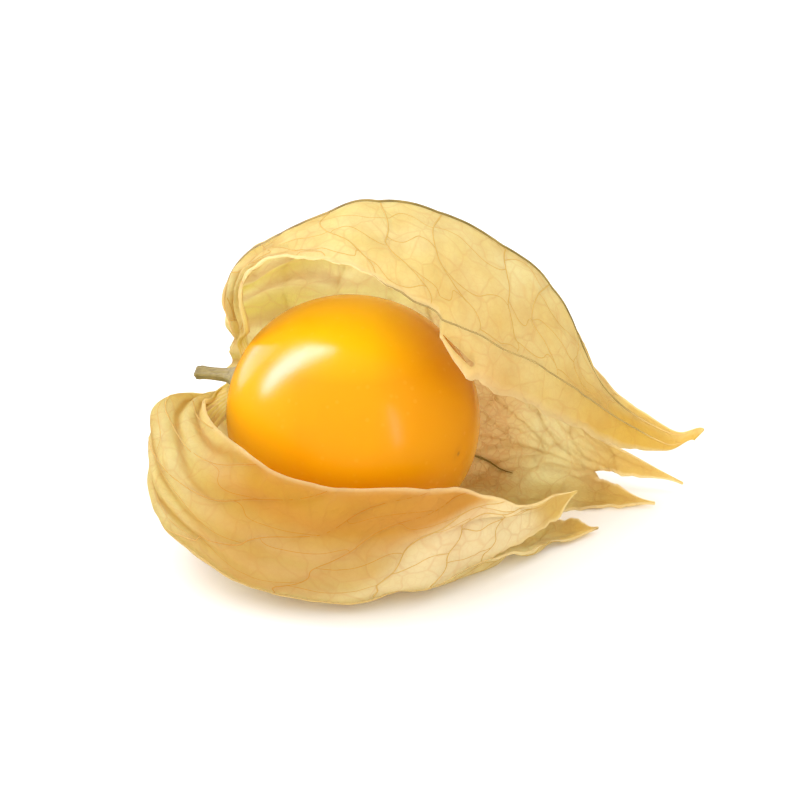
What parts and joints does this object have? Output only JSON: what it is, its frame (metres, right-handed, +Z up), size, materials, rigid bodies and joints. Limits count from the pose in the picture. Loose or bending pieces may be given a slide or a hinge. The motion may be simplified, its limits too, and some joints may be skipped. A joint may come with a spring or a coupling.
{
  "type": "physalis berry",
  "caption": "Physalis berry: a glossy orange berry lying in its dry papery husk, torn open along one side, with a short cut stalk.",
  "frame": {"origin": "Flat spot under the berry's centre on which the husk lies, on the surface.", "axes": "+X runs from the stalk to the husk's tip, +Y points away from the torn side, +Z is up."},
  "size_m": [0.0449, 0.0286, 0.0291],
  "materials": {
    "berry_skin": "glossy waxy fruit skin",
    "dry_husk": "matt papery dry calyx, translucent",
    "dry_stalk": "matt dry stalk"
  },
  "bodies": {
    "root": {"berry": "berry_skin", "husk": "dry_husk", "stem": "dry_stalk"}
  },
  "joints": []
}
